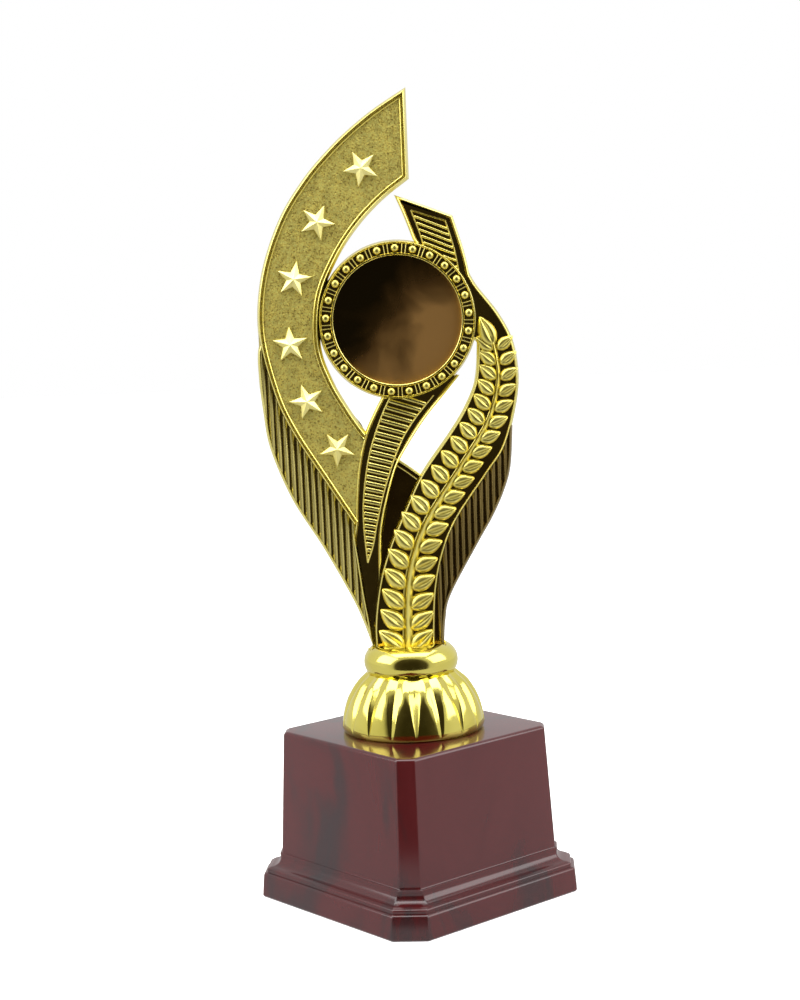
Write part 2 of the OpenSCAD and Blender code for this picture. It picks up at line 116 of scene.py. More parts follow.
LOWER_TAIL = [[-18.4, 134], [-16.9, 122], [-14.9, 108], [-14, 110], [-11.5, 126]]
LOWER_RIGHT = [
    [-10, 134], [-9.2, 147], [-6.2, 160], [-2.2, 172], [2.4, 180], [9.4, 190], [18, 200], [23.5, 206.5],
]
LADDER_LEFT = [[-4, 199], [-8, 191], [-13, 177], [-15.8, 162], [-16.5, 150], [-15.5, 134]]
LADDER_RIGHT = [[-15.5, 134], [-13, 141], [-11, 150], [-7.5, 163], [-1.5, 179], [4.5, 189], [13, 199]]
WEB = [[-10.8, 129], [-9.4, 145], [-6.4, 160], [-2.8, 175.3], [6.5, 168], [-1, 153], [-7, 140]]

# Centre of each star and the turn of its top point away from the vertical
STARS = [
    [-11.7, 287.5, 26], [-29.5, 267.5, -26], [-39.5, 246, -12],
    [-42, 220.8, 2], [-36.5, 198.5, 17], [-25.5, 179.5, 33],
]

# Depths along Y, from the front to the back of the relief
RING_Y = -6.4
RIM_Y = -4.8
BAND_Y = -3.6
BED_Y = -3.2
WING_Y = -2.6
CORE_Y = -1.0

RING_CENTRE = (0.0, 228.8)
RING_R = 31.0
INSERT_R = 25.0
INSERT_DEPTH = 2.0
BEADS = 25
BEAD_R = 1.6
BEAD_CIRCLE_R = 27.8

STAR_R = 7.4
STAR_NOTCH_R = 3.0
STAR_RISE = 2.5

FLUTE_PITCH = 2.52
FLUTE_W = 2.0
FLUTE_RISE = 0.7

LEAF_PAIRS = 19


# ---------- mesh helpers ----------

def curve(points, steps=8):
    """A Catmull-Rom curve through the points, with steps pieces between neighbours."""
    p = np.array(points, float)
    p = np.vstack([p[0], p, p[-1]])
    found = []
    for i in range(1, len(p) - 2):
        a, b, c, d = p[i - 1:i + 3]
        for t in np.arange(steps) / steps:
            found.append(0.5 * (
                2 * b + (c - a) * t + (2 * a - 5 * b + 4 * c - d) * t * t
                + (3 * b - a - 3 * c + d) * t ** 3
            ))
    return np.array(found + [p[-2]])


def outline(*parts):
    """A closed outline from (curve, weight) parts: its points, and each edge's share of the rim."""
    points, weights = [], []
    for part, weight in parts:
        for q in part:
            if points and np.hypot(*(np.array(q) - points[-1])) < 0.05:
                continue
            points.append(np.array(q, float))
            weights.append(weight)
    if np.hypot(*(points[0] - points[-1])) < 0.05:
        points.pop()
        weights.pop()
    points, weights = np.array(points), np.array(weights, float)
    # an edge belongs to the part of its end point, apart from the straight joins between parts
    edge_weights = np.roll(weights, -1)
    x, z = points.T
    if (x * np.roll(z, -1) - z * np.roll(x, -1)).sum() < 0:
        points = points[::-1]
        edge_weights = np.roll(edge_weights[::-1], -1)
    return points, edge_weights


def distance_to_edges(q, a, b):
    """The distance from point q to each segment a-b."""
    ab = b - a
    t = np.clip(((q - a) * ab).sum(1) / np.maximum((ab * ab).sum(1), 1e-9), 0, 1)
    return np.hypot(*(a + ab * t[:, None] - q).T)


def inset_directions(points, weights):
    """For each point, how far it moves for an inset of 1, so that both its edges keep their distance."""
    edge = np.roll(points, -1, 0) - points
    edge /= np.maximum(np.hypot(*edge.T), 1e-9)[:, None]
    normal = np.stack([-edge[:, 1], edge[:, 0]], 1)
    moves = np.zeros_like(points)
    for i in range(len(points)):
        na, nb = normal[i - 1], normal[i]
        wa, wb = weights[i - 1], weights[i]
        cross = na[0] * nb[1] - na[1] * nb[0]
        if abs(cross) < 0.12:
            m = na * wa + nb * wb
            moves[i] = m / max(1 + na @ nb, 0.5) if wa and wb else m * 0.5
        else:
            moves[i] = [(wa * nb[1] - wb * na[1]) / cross, (wb * na[0] - wa * nb[0]) / cross]
        size = np.hypot(*moves[i])
        if size > 3:
            moves[i] *= 3 / size
    return moves


def inset_limits(points, weights, moves, most):
    """How far each point can go before it is nearer to another edge than to its own."""
    a, b = points, np.roll(points, -1, 0)
    rim = weights > 0
    limits = np.full(len(points), float(most))
    for i, (p, m) in enumerate(zip(points, moves)):
        low, high = 0.0, float(most)
        if distance_to_edges(p + m * high, a[rim], b[rim]).min() > 0.93 * high:
            continue
        for _ in range(14):
            mid = (low + high) / 2
            if distance_to_edges(p + m * mid, a[rim], b[rim]).min() > 0.93 * mid:
                low = mid
            else:
                high = mid
        limits[i] = low
    return limits


def make_object(name, bm, sharp_deg=30):
    """An object from a bmesh in millimetres, smooth apart from edges sharper than sharp_deg."""
    bmesh.ops.remove_doubles(bm, verts=bm.verts, dist=0.004)
    bmesh.ops.dissolve_degenerate(bm, edges=bm.edges, dist=0.002)
    loose = [v for v in bm.verts if not v.link_faces]
    bmesh.ops.delete(bm, geom=loose, context="VERTS")
    bmesh.ops.recalc_face_normals(bm, faces=bm.faces)
    bmesh.ops.scale(bm, vec=(MM, MM, MM), verts=bm.verts)
    mesh = bpy.data.meshes.new(name)
    bm.to_mesh(mesh)
    bm.free()
    mesh.shade_smooth()
    mesh.set_sharp_from_angle(angle=math.radians(sharp_deg))
    thing = bpy.data.objects.new(name, mesh)
    bpy.context.scene.collection.objects.link(thing)
    return thing


def fill(bm, ring):
    """Fills a closed ring of bmesh vertices in the XZ plane with triangles."""
    flat = [Vector((v.co.x, v.co.z)) for v in ring]
    n = len(flat)
    points, _, faces, origins, _, _ = delaunay_2d_cdt(
        flat, [(i, (i + 1) % n) for i in range(n)], [], 1, 1e-5
    )
    for face in faces:
        corners = []
        for i in face:
            source = origins[i]
            if not source:
                break
            if ring[source[0]] not in corners:
                corners.append(ring[source[0]])
        else:
            if len(corners) == 3:
                try:
                    bm.faces.new(corners)
                except ValueError:
                    pass


def relief(bm, shape, loops):
    """A plate from its outline and its loops: (inset, y) from the outside edge inwards to the field."""
    points, weights = shape
    moves = inset_directions(points, weights)
    limits = inset_limits(points, weights, moves, loops[-1][0])
    insets = np.array([d for d, _ in loops])
    heights = np.array([y for _, y in loops])
    share = np.maximum(weights, np.roll(weights, 1))
    field = heights[-1]
    rings = [[bm.verts.new((x, CORE_Y, z)) for x, z in points]]
    for d in insets:
        ring = []
        for p, m, limit, s in zip(points, moves, limits, share):
            reach = min(d, limit)
            y = np.interp(reach, insets, heights)
            x, z = p + m * reach
            ring.append(bm.verts.new((x, field + (y - field) * s, z)))
        rings.append(ring)
    n = len(points)
    for lower, upper in zip(rings, rings[1:]):
        for i in range(n):
            j = (i + 1) % n
            bm.faces.new((lower[i], lower[j], upper[j], upper[i]))
    fill(bm, rings[-1])
    fill(bm, rings[0])


def lathe(bm, profile, place, steps=160, closed=False):
    """Revolves (radius, height) points: place turns (radius, height, angle) into x, y, z."""
    rings = [
        [bm.verts.new(place(r, h, 2 * math.pi * k / steps)) for k in range(steps)]
        for r, h in profile
    ]
    pairs = list(zip(rings, rings[1:]))
    if closed:
        pairs.append((rings[-1], rings[0]))
    for lower, upper in pairs:
        for k in range(steps):
            j = (k + 1) % steps
            bm.faces.new((lower[k], lower[j], upper[j], upper[k]))
    if not closed:
        for ring in (rings[0], rings[-1]):
            bm.faces.new(ring)


def about_z(r, h, a):
    """A place for lathe: round the vertical through the origin."""
    return r * math.cos(a), r * math.sin(a), h


def about_ring(r, y, a):
    """A place for lathe: round the axis of the beaded ring."""
    return RING_CENTRE[0] + r * math.cos(a), y, RING_CENTRE[1] + r * math.sin(a)


def arc(cx, cy, r, start, end, steps=8):
    """Points on a circle, from one angle to another, in degrees."""
    return [
        (cx + r * math.cos(math.radians(a)), cy + r * math.sin(math.radians(a)))
        for a in np.linspace(start, end, steps + 1)
    ]


# Across a bar, as shares of its width and height: a half circle, and a reed that is steep on its left
ROUND = [(-0.5 * math.cos(a), math.sin(a)) for a in np.linspace(0, math.pi, 9)]
REED = [(-0.5, 0), (-0.44, 0.45), (-0.2, 0.82), (0.0, 1), (0.12, 0.95), (0.3, 0.6), (0.5, 0)]


def bar(bm, start, end, width, base_y, top_y, end_slope=0.3, section=ROUND, slants=(0, 0)):
    """A straight raised bar between two [x, z] points, whose round ends can be cut at a slant."""
    start, end = np.array(start, float), np.array(end, float)
    run = end - start
    long = np.hypot(*run)
    if long < 0.3:
        return
    run /= long
    side = np.array([-run[1], run[0]])
    slope = min(end_slope, long * 0.3)
    ends = [(slope * (1 - math.cos(a)), math.sin(a)) for a in np.linspace(0, math.pi / 2, 4)]
    rings = []
    first = [(at, rise, slants[0]) for at, rise in ends]
    for at, rise, slant in first + [(long - at, rise, slants[1]) for at, rise in ends[::-1]]:
        ring = []
        for s, h in section:
            q = start + run * (at + slant * s * width) + side * s * width
            ring.append(bm.verts.new((q[0], base_y + (top_y - base_y) * h * rise, q[1])))
        rings.append(ring)
    for lower, upper in zip(rings, rings[1:]):
        for k in range(len(section)):
            j = (k + 1) % len(section)
            bm.faces.new((lower[k], lower[j], upper[j], upper[k]))


def bead(bm, centre, r, squash, rings=8, steps=16):
    """A domed bead that faces -Y, set on the plane of its centre."""
    cx, cy, cz = centre
    rows = []
    for i in range(rings):
        a = math.pi / 2 * i / rings
        rows.append([
            bm.verts.new((
                cx + r * math.cos(a) * math.cos(t),
                cy - r * squash * math.sin(a),
                cz + r * math.cos(a) * math.sin(t),
            ))
            for t in (2 * math.pi * k / steps for k in range(steps))
        ])
    top = bm.verts.new((cx, cy - r * squash, cz))
    for lower, upper in zip(rows, rows[1:]):
        for k in range(steps):
            j = (k + 1) % steps
            bm.faces.new((lower[k], lower[j], upper[j], upper[k]))
    for k in range(steps):
        bm.faces.new((rows[-1][k], rows[-1][(k + 1) % steps], top))
    bm.faces.new(rows[0])


# ---------- materials ----------
# The scale of a noise is in cells per metre.

def new_material(name):
    material = bpy.data.materials.new(name)
    material.use_nodes = True
    tree = material.node_tree
    shader = tree.nodes["Principled BSDF"]
    return material, tree, shader


def noise(tree, scale, detail=3.0, roughness=0.5, distortion=0.0):
    coordinates = tree.nodes.new("ShaderNodeTexCoord")
    texture = tree.nodes.new("ShaderNodeTexNoise")
    texture.inputs["Scale"].default_value = scale
    texture.inputs["Detail"].default_value = detail
    texture.inputs["Roughness"].default_value = roughness
    texture.inputs["Distortion"].default_value = distortion
    tree.links.new(coordinates.outputs["Object"], texture.inputs["Vector"])
    return texture


def ramp(tree, source, stops):
    """A colour ramp over a texture's factor."""
    node = tree.nodes.new("ShaderNodeValToRGB")
    elements = node.color_ramp.elements
    while len(elements) < len(stops):
        elements.new(0.5)
    for element, (at, colour) in zip(elements, stops):
        element.position = at
        element.color = (*colour, 1.0)
    tree.links.new(source, node.inputs["Fac"])
    return node


def bump(tree, shader, source, strength, distance):
    node = tree.nodes.new("ShaderNodeBump")
    node.inputs["Strength"].default_value = strength
    node.inputs["Distance"].default_value = distance
    tree.links.new(source, node.inputs["Height"])
    tree.links.new(node.outputs["Normal"], shader.inputs["Normal"])


def spread_roughness(tree, shader, source, low, high):
    node = tree.nodes.new("ShaderNodeMapRange")
    node.inputs["From Min"].default_value = 0.35
    node.inputs["From Max"].default_value = 0.65
    node.inputs["To Min"].default_value = low
    node.inputs["To Max"].default_value = high
    tree.links.new(source, node.inputs["Value"])
    tree.links.new(node.outputs["Result"], shader.inputs["Roughness"])


def metallised(name, deep, pale, rough):
    """Vacuum-metallised plastic: a mirror with a faint cast wave."""
    material, tree, shader = new_material(name)
    shader.inputs["Metallic"].default_value = 1.0
    cloud = noise(tree, 55, 2)
    colour = ramp(tree, cloud.outputs["Fac"], [(0.3, deep), (0.7, pale)])
    tree.links.new(colour.outputs["Color"], shader.inputs["Base Color"])
    spread_roughness(tree, shader, noise(tree, 240, 4).outputs["Fac"], *rough)
    bump(tree, shader, noise(tree, 90, 1).outputs["Fac"], 0.25, 0.0004)
    return material


GOLD = metallised("gold", (0.76, 0.655, 0.13), (0.84, 0.74, 0.18), (0.08, 0.16))
# a darker copy of the gold: painted shade for the sunk flat fields
SHADED_GOLD = metallised("shaded_gold", (0.50, 0.36, 0.10), (0.62, 0.48, 0.14), (0.08, 0.14))
# a paler copy of the gold than the riser's: painted light on the raised relief
LIT_RELIEF_GOLD = metallised("lit_relief_gold", (0.88, 0.77, 0.21), (0.95, 0.85, 0.28), (0.20, 0.28))
# paler again: painted light on the leaves and the beads
LIT_LEAF_GOLD = metallised("lit_leaf_gold", (0.92, 0.79, 0.19), (0.98, 0.87, 0.25), (0.32, 0.40))
# a darker copy of the gold: painted shade on the left wing's flutes
SHADED_REED_GOLD = metallised("shaded_reed_gold", (0.54, 0.46, 0.15), (0.64, 0.55, 0.19), (0.22, 0.30))
SHADE_GOLD = metallised("shade_gold", (0.21, 0.15, 0.05), (0.29, 0.21, 0.07), (0.22, 0.30))
# the palest copy: painted light on the stars
LIT_SATIN_GOLD = metallised("lit_satin_gold", (0.94, 0.85, 0.32), (1.0, 0.93, 0.42), (0.36, 0.46))
# the web's own dark gold, also used as painted shade on the right wing and in the leaf veins
DARK_GOLD_AND_SHADE = metallised("dark_gold", (0.20, 0.12, 0.03), (0.30, 0.19, 0.05), (0.14, 0.22))


def frosted():
    """Gold with a fine stipple: matt, with many small dark specks."""
    material, tree, shader = new_material("frosted_gold")
    shader.inputs["Metallic"].default_value = 1.0
    specks = noise(tree, 1500, 2, 0.7)
    colour = ramp(tree, specks.outputs["Fac"], [
        (0.34, (0.44, 0.33, 0.07)), (0.45, (0.98, 0.81, 0.20)), (0.62, (1.0, 0.92, 0.28)),
    ])
    tree.links.new(colour.outputs["Color"], shader.inputs["Base Color"])
    spread_roughness(tree, shader, noise(tree, 400, 3).outputs["Fac"], 0.52, 0.62)
    bump(tree, shader, noise(tree, 1100, 2, 0.6).outputs["Fac"], 0.55, 0.0005)
    return material


FROSTED = frosted()


def mirror_with_painted_reflection():
    """The floor of the recess: a mirror with a painted reflection, a brown glow that grows towards the lower
    right and is rougher there, and almost black towards the upper left.
    """
    material, tree, shader = new_material("mirror_with_painted_reflection")
    shader.inputs["Metallic"].default_value = 1.0
    coordinates = tree.nodes.new("ShaderNodeTexCoord")
    # painted reflection: a slant across the medallion, with a cloud, sets where the brown glow is
    slope = tree.nodes.new("ShaderNodeVectorMath")
    slope.operation = "DOT_PRODUCT"
    slope.inputs[1].default_value = (13.0, 0.0, -14.0)
    tree.links.new(coordinates.outputs["Object"], slope.inputs[0])
    cloud = noise(tree, 38, 3, 0.5, 0.6)
    both = tree.nodes.new("ShaderNodeMath")
    both.operation = "ADD"
    tree.links.new(slope.outputs["Value"], both.inputs[0])
    tree.links.new(cloud.outputs["Fac"], both.inputs[1])
    level = tree.nodes.new("ShaderNodeMapRange")
    level.inputs["From Min"].default_value = -3.0
    level.inputs["From Max"].default_value = -2.4
    tree.links.new(both.outputs["Value"], level.inputs["Value"])
    colour = ramp(tree, level.outputs["Result"], [
        (0.0, (0.16, 0.12, 0.05)), (0.5, (0.52, 0.28, 0.09)), (1.0, (0.72, 0.40, 0.13)),
    ])
    tree.links.new(colour.outputs["Color"], shader.inputs["Base Color"])
    rough = tree.nodes.new("ShaderNodeMapRange")
    rough.inputs["To Min"].default_value = 0.12
    rough.inputs["To Max"].default_value = 0.5
    tree.links.new(level.outputs["Result"], rough.inputs["Value"])
    tree.links.new(rough.outputs["Result"], shader.inputs["Roughness"])
    bump(tree, shader, noise(tree, 60, 1).outputs["Fac"], 0.2, 0.0004)
    return material


PAINTED_REFLECTION_MIRROR = mirror_with_painted_reflection()


def marbled():
    """Glossy burgundy plastic with a few soft grey streaks that run upwards."""
    material, tree, shader = new_material("marbled_burgundy")
    shader.inputs["Roughness"].default_value = 0.16
    shader.inputs["IOR"].default_value = 1.6
    coordinates = tree.nodes.new("ShaderNodeTexCoord")
    stretch = tree.nodes.new("ShaderNodeMapping")
    stretch.inputs["Scale"].default_value = (1.0, 1.0, 0.42)
    tree.links.new(coordinates.outputs["Object"], stretch.inputs["Vector"])
    streaks = noise(tree, 26, 4, 0.55, 1.1)
    tree.links.new(stretch.outputs["Vector"], streaks.inputs["Vector"])
    colour = ramp(tree, streaks.outputs["Fac"], [
        (0.29, (0.016, 0.012, 0.014)), (0.38, (0.036, 0.008, 0.009)),
        (0.45, (0.060, 0.006, 0.007)), (0.75, (0.070, 0.008, 0.009)),
    ])
    tree.links.new(colour.outputs["Color"], shader.inputs["Base Color"])
    bump(tree, shader, noise(tree, 45, 1).outputs["Fac"], 0.08, 0.0003)
    return material


def plain(name, low, high, rough, metal=0.0, scale=300, lift=0.0002):
    material, tree, shader = new_material(name)
    shader.inputs["Metallic"].default_value = metal
    cloud = noise(tree, scale, 4)
    colour = ramp(tree, cloud.outputs["Fac"], [(0.3, low), (0.7, high)])
    tree.links.new(colour.outputs["Color"], shader.inputs["Base Color"])
    spread_roughness(tree, shader, cloud.outputs["Fac"], *rough)
    bump(tree, shader, noise(tree, scale * 3, 3).outputs["Fac"], 0.3, lift)
    return material


MARBLE = marbled()
STEEL = plain("zinc_steel", (0.45, 0.46, 0.48), (0.62, 0.62, 0.64), (0.25, 0.4), 1.0)
STONE = plain("cast_weight", (0.25, 0.24, 0.23), (0.42, 0.41, 0.39), (0.7, 0.9), lift=0.0006)
BLACK = plain("black_cover", (0.02, 0.02, 0.02), (0.04, 0.04, 0.04), (0.45, 0.6))
FELT = plain("felt", (0.012, 0.012, 0.012), (0.03, 0.03, 0.03), (0.9, 1.0), scale=900, lift=0.0005)


def dress(thing, *materials):
    """Replaces the materials of an object."""
    thing.data.materials.clear()
    for material in materials:
        thing.data.materials.append(material)


def recess_finish_and_shade(thing, flat, raised, level):
    """Gives faces that look forwards from level or deeper the flat material, and others the raised one: the
    band's frosted field, the web's own dark gold, and painted shade in the other sunk fields.
    """
    dress(thing, flat, raised)
    for face in thing.data.polygons:
        deep = face.center.y > (level - 0.03) * MM
        face.material_index = 0 if deep and abs(face.normal.y) > 0.97 else 1


def finish_piece(thing, material, body, slot, *replaced):
    """Gives a piece its material and its body, and hides the CAD nodes that it stands for. The slot is not
    used.
    """
    dress(thing, material)
    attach(thing, body)
    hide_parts(*replaced)


# ---------- figure ----------

# From the outside edge inwards: drafted wall, bright bead, dark groove, fine line, field
BAND_RIM = [
    (0.0, CORE_Y - 0.3), (0.2, CORE_Y - 1.0), (0.7, RIM_Y + 0.5), (0.85, RIM_Y + 0.12), (1.05, RIM_Y),
    (1.25, RIM_Y + 0.1), (1.4, RIM_Y + 0.45), (1.5, BAND_Y + 0.1), (2.0, BAND_Y + 0.1), (2.15, BAND_Y - 0.45),
    (2.35, BAND_Y - 0.6), (2.55, BAND_Y - 0.45), (2.7, BAND_Y),
]


def star_band():
    bm = bmesh.new()
    shape = outline(
        (curve(BAND_OUTER), 1), (curve(BAND_RIBBON_SIDE), 0), (curve(BAND_INNER), 1)
    )
    relief(bm, shape, BAND_RIM)
    thing = make_object("star_band_relief", bm)
    finish_piece(thing, FROSTED, "figure", "frosted_gold_plastic", "star_band")
    recess_finish_and_shade(thing, FROSTED, LIT_RELIEF_GOLD, BAND_Y)


def stars():
    bm = bmesh.new()
    for x, z, lean in STARS:
        place = Matrix.Translation((x, BAND_Y, z)) @ Matrix.Rotation(math.radians(-lean), 4, "Y")
        foot, edge = [], []
        for i in range(10):
            r = STAR_NOTCH_R if i % 2 else STAR_R
            a = math.radians(36 * i)
            foot.append(bm.verts.new(place @ Vector((r * math.sin(a), 0.2, r * math.cos(a)))))
            edge.append(bm.verts.new(place @ Vector((r * 0.95 * math.sin(a), -0.5, r * 0.95 * math.cos(a)))))
        top = bm.verts.new(place @ Vector((0, -STAR_RISE, 0)))
        for i in range(10):
            j = (i + 1) % 10
            bm.faces.new((foot[i], foot[j], edge[j], edge[i]))
            bm.faces.new((edge[i], edge[j], top))
        bm.faces.new(foot[::-1])
    bmesh.ops.bevel(
        bm, geom=[e for e in bm.edges if e.calc_face_angle(0) > 0.3], offset=0.12, segments=2,
        affect="EDGES", profile=0.5,
    )
    finish_piece(make_object("faceted_stars", bm, 15), LIT_SATIN_GOLD, "figure", "gold_plastic", "stars")


PLAIN_RIM = [
    (0.0, CORE_Y - 0.3), (0.6, BED_Y - 0.1), (0.75, BED_Y - 0.4), (0.95, BED_Y - 0.5), (1.15, BED_Y - 0.4),
    (1.3, BED_Y - 0.1), (1.4, BED_Y + 0.3),
]


def wing_bars(bm, low, high, from_x, to_x):
    """Upright flutes between two curves that are read as height over x."""
    low, high = low[np.argsort(low[:, 0])], high[np.argsort(high[:, 0])]
    base_y, top_y = WING_Y + 0.15, WING_Y - FLUTE_RISE
    for x in np.arange(from_x, to_x, FLUTE_PITCH):
        # the tops run in under the rim of the band or the bed, but stop short of the wing's own rim
        rimmed = -20 <= x <= 0
        ends, slants = [], []
        for edge, inset in ((low, 0.9), (high, -0.9 if rimmed else 0.6)):
            slope = (np.interp(x + 0.5, *edge.T) - np.interp(x - 0.5, *edge.T))
            ends.append(np.interp(x, *edge.T) + inset * math.hypot(1, slope))
            slants.append(-slope)
        if ends[1] - ends[0] > 3:
            bar(bm, (x, ends[0]), (x, ends[1]), FLUTE_W, base_y, top_y, 0.4, REED, slants)


def wing(side, shape, flutes, flat, raised, fluted):
    """A plate with a raised rim, and its flutes, given as their low edge, high edge and range in x."""
    bm = bmesh.new()
    relief(bm, shape, [(d, y + (WING_Y - BED_Y) * 0.5) for d, y in PLAIN_RIM])
    plate = make_object(side + "_wing_plate", bm)
    finish_piece(plate, raised, "figure", "gold_plastic", side + "_wing")
    recess_finish_and_shade(plate, flat, raised, WING_Y)
    bm = bmesh.new()
    wing_bars(bm, *flutes)
    finish_piece(make_object(side + "_wing_flutes", bm), fluted, "figure", "gold_plastic", side + "_wing")


def left_wing():
    band_edge = curve(BAND_OUTER)
    band_edge = band_edge[band_edge[:, 1] < 224]
    shape = outline(
        (curve(LEFT_WING_OUTER), 1), (curve(LEFT_WING_INNER), 1), (band_edge[::-1] + [0.6, 0.6], 0)
    )
    low = curve(LEFT_WING_OUTER)
    low = low[low[:, 1] < 205]
    high = np.vstack([band_edge, curve(LEFT_WING_INNER)])
    # painted shade in the sunk field and on the flutes, a paler copy of the gold on the rim
    wing("left", shape, (low, high, -53.3, -15.5), SHADED_GOLD, LIT_RELIEF_GOLD, SHADED_REED_GOLD)


def right_wing():
    bed_edge = curve(BED_RIGHT)
    bed_edge = bed_edge[bed_edge[:, 1] < 186]
    shape = outline(
        (curve(RIGHT_WING_OUTER), 1), (bed_edge[::-1] - [0.8, 0], 0)
    )
    low = curve(RIGHT_WING_OUTER)
    low = low[low[:, 1] < 182]
    # the whole right wing in darker copies of the gold: painted shade
    wing("right", shape, (low, bed_edge, 12.4, 43), DARK_GOLD_AND_SHADE, SHADE_GOLD, SHADE_GOLD)


def laurel_bed():
    bm = bmesh.new()
    ring_side = arc(*RING_CENTRE, RING_R - 0.6, 30, -17, 8)
    shape = outline((curve(BED_RIGHT), 1), (ring_side, 0), (curve(BED_LEFT), 1))
    relief(bm, shape, [(d, y - 0.1) for d, y in PLAIN_RIM])
    thing = make_object("laurel_plate", bm)
    finish_piece(thing, LIT_RELIEF_GOLD, "figure", "gold_plastic", "laurel_bed")
    # the sunk field between the leaves is painted in shade
    recess_finish_and_shade(thing, SHADED_GOLD, LIT_RELIEF_GOLD, BED_Y + 0.2)


def leaf(bm, base, angle, length, width, height, base_y):
    """A plump leaf with a sunk vein, from its base point along angle (degrees from +X)."""
    rows, columns, vein_column = 14, 16, 7
    vein_v = 2 * vein_column / columns - 1
    c, s = math.cos(math.radians(angle)), math.sin(math.radians(angle))

    def place(along, across, up):
        return (base[0] + c * along - s * across, base_y - up, base[1] + s * along + c * across)

    grid = []
    for i in range(rows + 1):
        u = i / rows
        swell = max(math.sin(math.pi * u ** 0.82), 0.0)
        half = width / 2 * swell ** 0.8
        line = []
        for j in range(columns + 1):
            v = -1 + 2 * j / columns
            dome = max(1 - abs(v) ** 2.2, 0.0) ** 0.6
            vein = 0.36 * math.exp(-(((v - vein_v) / 0.2) ** 2)) * min(3 * u, 1)
            up = height * swell ** 0.5 * max(dome - vein, 0)
            line.append(bm.verts.new(place(u * length, v * half, up)))
        grid.append(line)
    for lower, upper in zip(grid, grid[1:]):
        for j in range(columns):
            face = bm.faces.new((lower[j], lower[j + 1], upper[j + 1], upper[j]))
            # the faces along the vein take the second material: painted shade
            face.material_index = 1 if j in (vein_column - 1, vein_column) else 0
        bm.faces.new((lower[0], upper[0], upper[-1], lower[-1]))


# Across the stem, as shares of its half width and height: a fine line, a groove and a body that falls away
STEM_SECTION = [
    (-1.0, 0.0), (-0.9, 0.45), (-0.76, 0.5), (-0.62, 0.2), (-0.48, 0.2), (-0.36, 0.85),
    (-0.25, 1.0), (-0.1, 0.97), (0.3, 0.74), (0.7, 0.44), (0.95, 0.15), (1.0, 0.0),
]


def laurel_spray():
    bm = bmesh.new()
    stem = curve(STEM, 10)
    length = np.concatenate([[0], np.cumsum(np.hypot(*np.diff(stem, axis=0).T))])

    def at(share):
        reach = np.clip(share, 0, 1) * length[-1]
        return np.array([np.interp(reach, length, stem[:, 0]), np.interp(reach, length, stem[:, 1])])

    def heading(share):
        d = at(share + 0.015) - at(share - 0.015)
        return math.atan2(d[1], d[0])

    foot_y = BED_Y + 0.5
    rows = []
    for share in np.linspace(0, 1, 80):
        p, a = at(share), heading(share) - math.pi / 2
        half = 2.3 - 1.6 * share
        tall = 2.6 - 0.9 * share
        rows.append([
            bm.verts.new((p[0] + math.cos(a) * s * half, foot_y - h * tall, p[1] + math.sin(a) * s * half))
            for s, h in STEM_SECTION
        ])
    for lower, upper in zip(rows, rows[1:]):
        for j in range(len(STEM_SECTION)):
            k = (j + 1) % len(STEM_SECTION)
            bm.faces.new((lower[j], lower[k], upper[k], upper[j]))
    bm.faces.new(rows[0])
    bm.faces.new(rows[-1][::-1])
    for i in range(LEAF_PAIRS):
        u = i / (LEAF_PAIRS - 0.4)
        share = u * (1.21 - 0.21 * u)
        size = 1 - 0.34 * share
        bend = math.sin(math.pi * share)
        side = np.array([math.sin(heading(share)), -math.cos(heading(share))])
        # the leaves lean and shorten a little where the stem slopes, and shrink towards its tip
        left, right = at(share) - side * 0.9 * size, at(share) + side * 0.9 * size
        leaf(bm, left, 142 - 10 * bend, (13.4 - 1.3 * bend) * size, 8.2 * size, 2.8 * size, foot_y)
        leaf(bm, right, 40 - 26 * bend, (12.4 - 0.7 * bend) * size, 7.6 * size, 2.8 * size, foot_y)
    leaf(bm, at(1) - [0, 2], 113, 13, 7.4, 2.5, foot_y)
    thing = make_object("laurel_spray_leaves", bm, 50)
    finish_piece(thing, LIT_LEAF_GOLD, "figure", "gold_plastic", "laurel_spray")
    # painted shade for the faces along the veins
    thing.data.materials.append(DARK_GOLD_AND_SHADE)


RIBBON_RIM = [
    (0.0, CORE_Y - 0.3), (0.2, BED_Y - 0.1), (0.45, BED_Y - 0.5), (0.65, BED_Y - 0.66), (0.9, BED_Y - 0.5),
    (1.1, BED_Y - 0.1), (1.2, BED_Y + 0.3), (1.35, BED_Y + 0.5),
]


def middle(z, left, right):
    """The x half way between two curves at height z."""
    return (np.interp(z, left[:, 1], left[:, 0]) + np.interp(z, right[:, 1], right[:, 0])) / 2


def rungs(bm, left, right, from_z, to_z, pitch, slant, base_y, top_y, width):
    """Slanted bars between two curves that are read as x over height."""
    left, right = left[np.argsort(left[:, 1])], right[np.argsort(right[:, 1])]
    for z in np.arange(from_z, to_z, pitch):
        tilt = math.tan(math.radians(slant(z)))
        ends = []
        for side in (left, right):
            x, h = 0.0, z
            for _ in range(12):
                x = np.interp(h, side[:, 1], side[:, 0])
                h = z + tilt * (x - middle(z, left, right))
            ends.append((x, h))
        if ends[1][0] - ends[0][0] > 0.8:
            bar(bm, (ends[0][0] + 0.25, ends[0][1]), (ends[1][0] - 0.25, ends[1][1]), width, base_y, top_y)


def rail(bm, path, width, base_y, top_y):
    """A fine raised line along a curve."""
    path = np.array(path)
    ahead = np.gradient(path, axis=0)
    ahead /= np.maximum(np.hypot(*ahead.T), 1e-9)[:, None]
    side = np.stack([-ahead[:, 1], ahead[:, 0]], 1)
    rows = []
    for p, n in zip(path, side):
        rows.append([
            bm.verts.new((p[0] + n[0] * s * width, base_y + (top_y - base_y) * h, p[1] + n[1] * s * width))
            for s, h in ROUND
        ])
    for lower, upper in zip(rows, rows[1:]):
        for j in range(len(ROUND) - 1):
            bm.faces.new((lower[j], lower[j + 1], upper[j + 1], upper[j]))
    bm.faces.new(rows[0])
    bm.faces.new(rows[-1][::-1])


